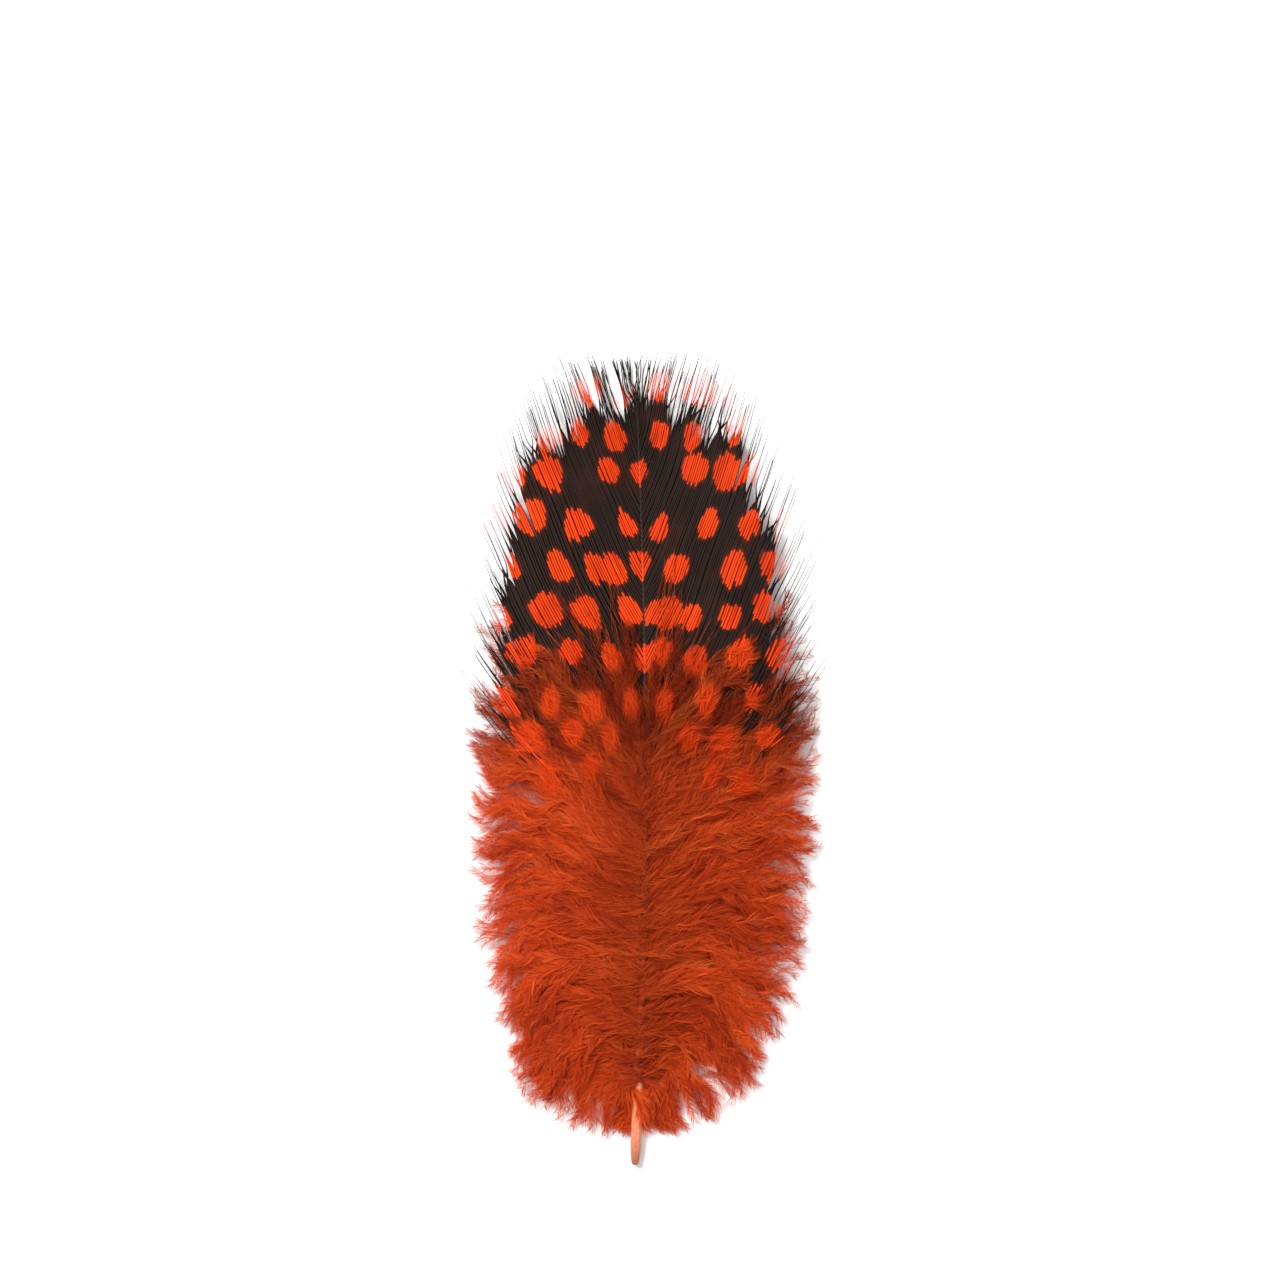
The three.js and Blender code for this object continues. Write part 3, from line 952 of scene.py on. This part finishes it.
def bend_threads(down, rng, layer):
    """Fans the lowest threads out below the quill, turns a cover's threads up and bends all of them over."""
    fan = rng.uniform(0, 1, down.each) * smooth(FAN_TOP, QUILL_BARE, down.root)
    hang_x = shaft_x(down.y) + down.side * rng.uniform(*FAN_SPREAD, down.each) * down.along
    x = mix(down.x, hang_x, fan * smooth(0.0, 0.6, down.along))
    turned = rng.uniform(0, layer.steep, down.each)
    sideways = x - shaft_x(down.y)
    down.x = x - turned * sideways
    climb = (down.root - QUILL_BARE) / (SHAFT_END - QUILL_BARE)
    bent = layer.arc * mix(LOW_ARC, HIGH_ARC, climb / HIGH_CLIMB)
    bent = bent * rng.uniform(*ARC_SPREAD, down.each) * (1 - fan)
    y = down.y + TURN_CLIMB * turned * np.abs(sideways)
    down.y = y + bent * 4 * down.along * (1 - down.along)


def raise_threads(down, rng, layer):
    """Gives the threads their heights. Those of the upper layers start on the shaft and clear the quill."""
    over = rng.uniform(*OVER_SHAFT, down.each)
    near_shaft = 1 - smooth(0.0, 0.16, down.along)
    covers = layer.height >= 1
    radius = shaft_radius(down.root)
    down.x = down.x - down.side * (radius + GAP + over) * near_shaft * covers
    sheet = sheet_height(down.x, down.y)
    level = rng.uniform(-1, 1, down.each) * np.minimum(1.0, layer.thick * sheet)
    level = level * mix(1, TIP_LEVEL, down.along)
    wave = np.sin(rng.uniform(*ANY_PHASE, down.each) + HEIGHT_WAVES * down.along)
    z = sheet * layer.height + level + layer.raised + HEIGHT_WAVE * wave
    root_z = shaft_z(down.y) * min(1, layer.height + ROOT_RISE) + (radius + OVER_RISE * over) * covers
    z = mix(root_z, z, smooth(0.0, 0.22, down.along))
    over_quill = np.abs(down.x - shaft_x(down.y)) < shaft_radius(down.y) + QUILL_MARGIN
    clear_z = shaft_z(down.y) + shaft_radius(down.y) + QUILL_CLEARANCE
    down.z = np.where(covers & over_quill, np.maximum(z, clear_z), z)


print("threads fan out below", FAN_TOP, "mm")

# %% Lines of loose threads
LOWEST = 0.06
FINE_SWIRL = 0.8
FINER = 2.7
LAYER_PHASE = 2.1
OWN_SWAY = 0.32
OWN_WAVES = (8, 16)


def down_lines(side, rng, layer):
    """Centre lines of one layer's threads, and the share along them of each station."""
    down = gather_threads(side, rng, layer)
    bend_threads(down, rng, layer)
    raise_threads(down, rng, layer)
    lines = np.stack([down.x, down.y, down.z], -1)
    _, across, _ = lie(lines, side)
    own_phase = rng.uniform(*ANY_PHASE, down.each)
    own_wave = np.sin(own_phase + rng.uniform(*OWN_WAVES, down.each) * down.along)
    phase = LAYER_PHASE * layer.height + side
    swept = swirl(down.x, down.y, phase) + FINE_SWIRL * swirl(FINER * down.x, FINER * down.y, phase + 1)
    sway = layer.swirled * swept + OWN_SWAY * own_wave * (1 + down.stray)
    lines = lines + across * (sway * smooth(0.05, 0.55, down.along))[..., None]
    lines[..., 2] = np.maximum(lines[..., 2], 2 * LOWEST)
    return lines, np.repeat(down.along, layer.count, 0)


print("lowest down in mm:", LOWEST)

# %% Tufted barbules
TUFT = 6
FIRST_BARBULE, BARBULE_SPAN = 0.01, 0.985
TUFT_SPREAD, OWN_SPREAD = (0.6, 1.4), (0.85, 1.15)
TUFT_RISE, OWN_RISE = 0.3, 0.1
FALL_BACK = 0.6
LEAVE_ANGLE = np.radians(36)
ARRIVE_ANGLE = np.radians(9)
BARBULE_LENGTHS = (0.6, 1.25)
END_LENGTH = 0.45
TUFT_PULL = 0.45


def at_share(values, share):
    """Values of each strand, read at shares of the way along it."""
    place = share * (values.shape[1] - 1)
    low = np.clip(np.floor(place).astype(int), 0, values.shape[1] - 2)
    part = (place - low)[..., None]
    strand = np.arange(len(values)).reshape(-1, *[1] * (share.ndim - 1))
    return values[strand, low] * (1 - part) + values[strand, low + 1] * part


def bend_barbules(lines, side, rng, layer, hand):
    """Needles in tufts on both sides of every thread: their starts, middles, tips and directions.
    The arrays' axes are thread, side of the thread, tuft and needle."""
    shape = (layer.count, 2, layer.tufts, TUFT)
    each_tuft = (*shape[:3], 1, 1)
    each = (*shape, 1)
    order = np.arange(layer.tufts * TUFT).reshape(layer.tufts, TUFT)
    made = SimpleNamespace()
    made.share = FIRST_BARBULE + BARBULE_SPAN * (order + rng.uniform(0, 1, shape)) / (layer.tufts * TUFT)
    made.start = at_share(lines, made.share)
    ahead, beside, made.above = [unit(at_share(way, made.share)) for way in lie(lines, side)]
    spread = rng.uniform(*TUFT_SPREAD, each_tuft) * rng.uniform(*OWN_SPREAD, each)
    rise = rng.normal(0, TUFT_RISE, each_tuft) + rng.normal(0, OWN_RISE, each)
    turn = LEAVE_ANGLE * spread
    leave = unit(ahead * np.cos(turn) + hand * beside * np.sin(turn) + made.above * rise)
    turn = ARRIVE_ANGLE * spread
    made.arrive = unit(ahead * np.cos(turn) + hand * beside * np.sin(turn) - made.above * rise * FALL_BACK)
    long = layer.barbule * rng.uniform(*BARBULE_LENGTHS, each)
    long = long * mix(1.0, END_LENGTH, made.share[..., None] ** 2)
    middle = made.start + long * (0.375 * leave + 0.125 * made.arrive)
    tip = made.start + long * (0.5 * leave + 0.5 * made.arrive)
    made.middle = mix(middle, middle.mean(3, keepdims=True), TUFT_PULL / 3)
    made.tip = mix(tip, tip.mean(3, keepdims=True), TUFT_PULL)
    return made


print("needles in a tuft:", TUFT)

# %% Barbules as mesh
BARBULE_HALF_WIDTH = 0.032
MIDDLE_WIDTH = 0.85
MOST_ROLL = 1.1
TUFT_TINT = 0.09
OWN_TINT = 0.08
NEEDLE = np.array([[0, 1, 3], [0, 3, 2], [2, 3, 4]])
NEEDLE_OUT = np.array([0.0, 0.0, 0.5, 0.5, 1.0])
NEEDLE_MAP = np.array([-0.4, 0.4, -0.4, 0.4, 0.0])


def barbules(lines, side, rng, layer, thread_tint):
    """Points, triangles, fields and map of the needles on every thread."""
    hand = np.array([1.0, -1.0])[None, :, None, None, None]
    made = bend_barbules(lines, side, rng, layer, hand)
    shape = made.share.shape
    roll = rng.uniform(-MOST_ROLL, MOST_ROLL, (*shape, 1))
    flat = unit(np.cross(made.arrive, made.above))
    base = (np.cos(roll) * flat + np.sin(roll) * np.cross(flat, made.arrive)) * BARBULE_HALF_WIDTH
    waist = MIDDLE_WIDTH * base
    places = [made.start - base, made.start + base, made.middle - waist, made.middle + waist, made.tip]
    corners = np.stack(places, 4)
    corners[..., 2] = np.maximum(corners[..., 2], LOWEST)
    triangles = (np.arange(made.share.size)[:, None, None] * len(NEEDLE_OUT) + NEEDLE).reshape(-1, 3)
    tint = thread_tint.reshape(-1, 1, 1, 1) + rng.normal(0, TUFT_TINT, (*shape[:3], 1))
    tint = np.clip(tint + rng.normal(0, OWN_TINT, shape), 0, 1)
    share = made.share[..., None]
    fields = {
        "along": np.repeat(share, len(NEEDLE_OUT), -1),
        "out": np.broadcast_to(NEEDLE_OUT, (*shape, len(NEEDLE_OUT))),
        "tint": np.repeat(tint[..., None], len(NEEDLE_OUT), -1),
    }
    thin = NEEDLE_MAP / (2 * layer.tufts * TUFT)
    strand = np.arange(layer.count).reshape(-1, 1, 1, 1, 1)
    strip = (strand + 0.5 + 0.42 * hand * fields["out"]) / layer.count
    strip_map = np.stack([map_along(share + thin), strip], -1).reshape(-1, 2)
    return corners.reshape(-1, 3), triangles, fields, strip_map


print("triangles in a needle:", len(NEEDLE))

# %% Threads as mesh
THREAD_HALF_WIDTH = 0.055
THREAD_TIP = 0.4
THREAD_STRIP = 0.02
TRIANGLE = np.array([[0.0, 1.0], [0.87, -0.5], [-0.87, -0.5]])


def threads(lines, side, along, thread_tint):
    """Three-sided tubes along the threads, with their fields and map."""
    _, across, up = lie(lines, side)
    wide = THREAD_HALF_WIDTH * mix(1.0, THREAD_TIP, along)[..., None, None]
    corners = across[..., None, :] * TRIANGLE[:, :1] + up[..., None, :] * TRIANGLE[:, 1:]
    rings = lines[..., None, :] + wide * corners
    rings[..., 2] = np.maximum(rings[..., 2], LOWEST)
    points, triangles = skin(rings if side > 0 else rings[:, :, ::-1])
    shape = rings.shape[:3]
    count = shape[0]
    fields = {
        "along": np.broadcast_to(along[..., None], shape),
        "out": np.zeros(shape),
        "tint": np.broadcast_to(thread_tint[..., None], shape),
    }
    strip = (np.arange(count)[:, None, None] + 0.5 + THREAD_STRIP * TRIANGLE[:, 0]) / count
    strip_map = np.stack([map_along(fields["along"]), np.broadcast_to(strip, shape)], -1).reshape(-1, 2)
    return points, triangles, fields, strip_map


print("thread width in mm:", 2 * THREAD_HALF_WIDTH)

# %% [markdown]
# Whole plumes.
# A plume is a layer of threads with their barbules. At the foot of the vane the spots go on in the
# fluff, as soft patches with dusky fluff between them, so those points carry a spot measure too.

# %% Whole plumes
VEIL_LOW = 50.0
VEIL_HIGH = 62.0
VEIL_STRETCH = 1.1
TINT_SPREAD = 0.18
THREAD_PALENESS = 0.12


def joined(parts):
    """One set of points, triangles, fields and map from several."""
    points, triangles, fields, maps = zip(*parts)
    starts = np.cumsum([0] + [len(part) for part in points[:-1]])
    triangles = [part + start for part, start in zip(triangles, starts)]
    together = {name: np.concatenate([f[name] for f in fields]) for name in fields[0]}
    return np.concatenate(points), np.concatenate(triangles), together, np.concatenate(maps)


def veiled_spots(points):
    """The spots as fluff at the foot of the vane shows them, and how dusky it is between them."""
    x, y, _ = points.T
    spot = np.full(len(points), -1.0)
    near = y > VEIL_LOW
    spot[near] = spot_measure(x[near], y[near], 0.0, 1.0, 0.0, VEIL_STRETCH)
    return {"spot": spot, "dusk": smooth(VEIL_LOW, VEIL_HIGH, y)}


def plume(sides, rng, layer):
    """Points, triangles, fields and map of one layer of down."""
    parts = []
    for place, side in enumerate(sides):
        lines, along = down_lines(side, rng, layer)
        tint = np.clip(rng.normal(layer.tint, TINT_SPREAD, (layer.count, 1)), 0, 1)
        stems = threads(lines, side, along, tint + THREAD_PALENESS)
        for points, triangles, fields, strip_map in (stems, barbules(lines, side, rng, layer, tint)):
            flat = {key: value.ravel() for key, value in fields.items()} | veiled_spots(points)
            strip_map[:, 1] = (strip_map[:, 1] + place) / len(sides)
            parts.append((points, triangles, flat, strip_map))
    return joined(parts)


print("spots show in the fluff above", VEIL_LOW, "mm")

# %% [markdown]
# The downy finish.
# Down scatters light instead of shining. Its colour changes from thread to thread. It is darker towards
# the threads' roots and paler at the barbules' ends, partly the down's own greyer base and partly painted
# shade deep in the locks. A share of a Translucent shader lets light through the thin threads, so that
# the locks glow where they are thin and don't turn black inside. The veiled spots are blended in with
# soft rims.

# %% Down finish
DOWN_TINTS = (
    (0.0, (0.24, 0.022, 0.006)),
    (0.4, (0.60, 0.066, 0.011)),
    (0.75, (0.80, 0.105, 0.017)),
    (1.0, (0.95, 0.180, 0.036)),
)
VEILED_ORANGE = (0.85, 0.075, 0.007)
VEIL_STRENGTH = 0.7
DUSK_STRENGTH = 0.55
THREAD_GLOW = 0.26
GLOW_COLOUR = (0.90, 0.12, 0.015, 1)

fluff, tree, shader = finish("dyed_down", Specular_IOR_Level=0.1)
patch = cloud(tree, 7.0)
tint = field(tree, "tint")
colour = (tint + 0.5 * (patch - 0.5)).ramp(*DOWN_TINTS)
veiled = (field(tree, "spot") + 0.4 * (tint - 0.5)).step(-0.25, 0.4)
dusk = field(tree, "dusk") * (1 - veiled)
colour = (VEIL_STRENGTH * veiled).blend(colour, VEILED_ORANGE)
# Darker towards the threads' roots and paler at the barbules' ends: partly the down's own greyer base,
# partly painted shade deep in the locks.
root_tone_and_painted_shade = field(tree, "along").step(0.0, 0.5, 0.75, 1.0) * field(tree, "out").step(0.0, 1.0, 0.82, 1.08)
root_tone_and_painted_shade = root_tone_and_painted_shade * (1 - DUSK_STRENGTH * dusk)
feed(tree, shader, Base_Color=root_tone_and_painted_shade.shade(colour), Roughness=patch.step(0.2, 0.8, 0.7, 0.9))
glow = Wire(tree).node("ShaderNodeBsdfTranslucent", {}, {"Color": GLOW_COLOUR})
matt = Wire(tree, shader.outputs[0])
both = Wire(tree).node("ShaderNodeMixShader", {}, {0: THREAD_GLOW, 1: matt, 2: glow})
tree.links.new(both.socket, tree.nodes["Material Output"].inputs["Surface"])
print("share of light let through:", THREAD_GLOW)

# %% Down pieces
DOWN_TINT = 0.5
UPPER = thread_layer(
    count=180, bottom=QUILL_BARE, top=57.0, height=1.06, thick=0.28, reach=1.0, shorter=0.38,
    gather=0.5, arc=4.4, tufts=20, barbule=3.2, tint=DOWN_TINT,
)
LOWER = thread_layer(
    count=188, bottom=QUILL_BARE, top=56.0, height=0.72, thick=0.28, reach=0.98, shorter=0.12,
    gather=0.45, arc=2.8, tufts=20, barbule=3.2, tint=DOWN_TINT, shift=0.5,
)

down_rng = np.random.default_rng(33)
for hand, side in SIDES:
    for level, layer in (("upper", UPPER), ("lower", LOWER)):
        made = plume([side], down_rng, layer)
        piece = new_piece(f"{hand}_down_{level}", *made, fluff, "down")
        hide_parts(f"{hand}_down")

# %% [markdown]
# Loose cover at the foot of the vane.
# Where down gives way to vane, fluffy threads lie over the lowest closed barbs, so that the last spots
# show through them. They are two thin layers more of the same threads: short plumes, and single hairs
# that reach farther up.

# %% Loose cover
COVER = thread_layer(
    count=64, bottom=47.0, top=60.0, height=1.0, thick=0.04, reach=0.42, gather=0.2, arc=0.6,
    raised=0.75, swirled=0.5, steep=0.85, tufts=8, barbule=2.0, tint=0.3,
)
STRAY_HAIRS = thread_layer(
    count=36, bottom=48.0, top=63.0, height=1.0, thick=0.02, reach=0.6, gather=0.0, arc=0.8,
    raised=0.6, swirled=0.3, steep=0.8, tufts=1, barbule=0.5, tint=0.6,
)

for hand, side in SIDES:
    cover = plume([side], down_rng, COVER)
    hairs = plume([side], down_rng, STRAY_HAIRS)
    piece = new_piece(f"{hand}_down_cover", *joined([cover, hairs]), fluff, "down")
    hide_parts(f"{hand}_down")

# %% [markdown]
# The afterfeather.
# A fowl's body feather grows a second, smaller plume from the underside of its quill, all down. It is
# pressed flat under the lying feather, so it takes the same threads and barbules in one thin layer.

# %% Afterfeather
AFTER = thread_layer(
    count=40, bottom=14.0, top=47.0, height=0.12, thick=0.08, reach=0.70, gather=0.5, arc=1.0,
    tufts=14, barbule=2.4, tint=DOWN_TINT,
)

made = plume([-1, 1], down_rng, AFTER)
after = new_piece("afterfeather_plume", *made, fluff, "down")
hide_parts("afterfeather")

# %% [markdown]
# Fluff may stand a little proud of the solids, but it must not make the feather larger than it is.
